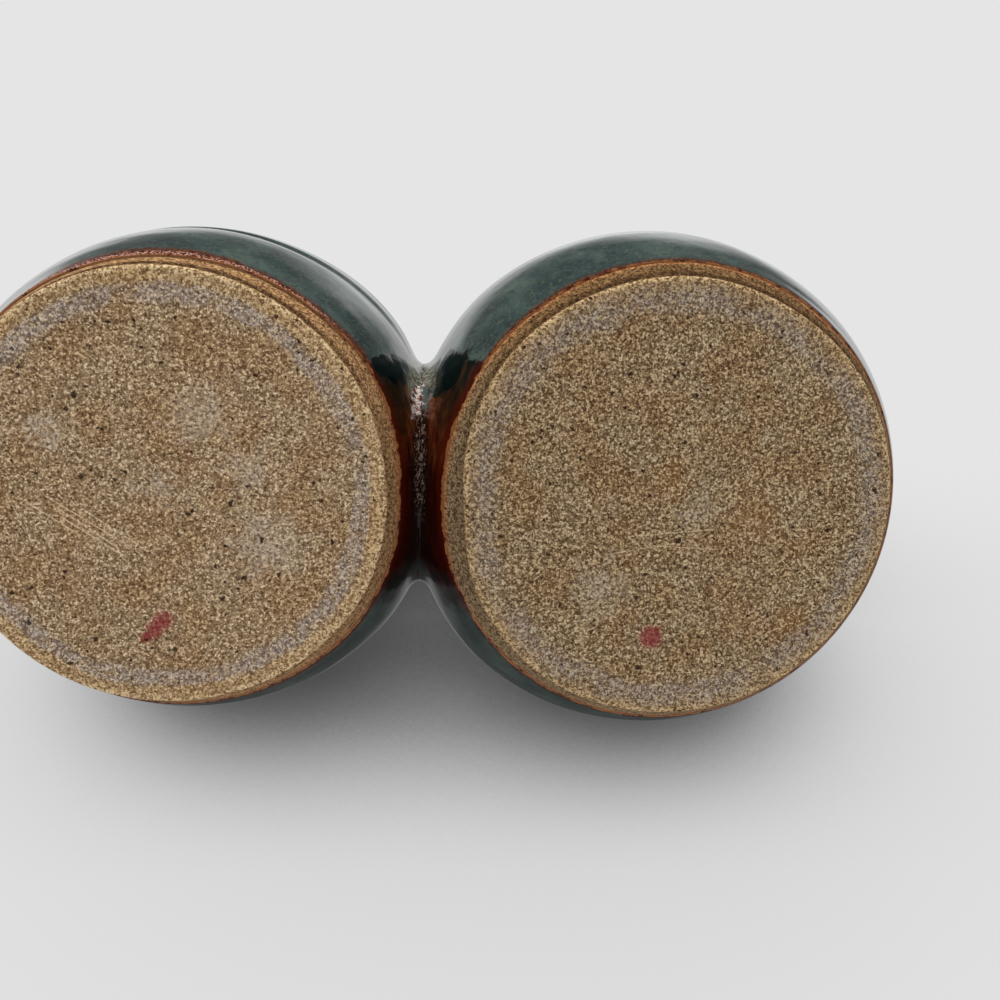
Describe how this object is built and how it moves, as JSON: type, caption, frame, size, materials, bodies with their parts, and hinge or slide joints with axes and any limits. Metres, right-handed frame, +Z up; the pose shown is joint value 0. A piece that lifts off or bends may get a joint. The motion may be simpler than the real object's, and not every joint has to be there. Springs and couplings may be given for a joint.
{
  "type": "double bud vase",
  "caption": "Two squat round stoneware pots joined side by side at the belly, each with a narrow open neck, a rolled lip and a flat bare base.",
  "frame": {"origin": "bottom centre of the whole vase, on the surface it stands on", "axes": "+X from the left pot to the right pot, +Z up along both pot axes, +Y towards the back, the side that lies on the table in the picture"},
  "size_m": [0.191, 0.104, 0.104],
  "materials": {
    "stoneware": "unglazed fired stoneware, buff brown, sandy with dark iron specks, fully matt",
    "slip": "fired slip of the same clay, smooth and matt",
    "outer_glaze": "glossy dark teal glaze that breaks iron red at its lower edge and runs nearly black along the seam",
    "liner_glaze": "glossy teal glaze inside each pot"
  },
  "bodies": {
    "root": {"left_pot": "stoneware", "right_pot": "stoneware", "seam_slip": "slip", "outer_glaze": "outer_glaze", "left_liner_glaze": "liner_glaze", "right_liner_glaze": "liner_glaze"}
  },
  "joints": []
}
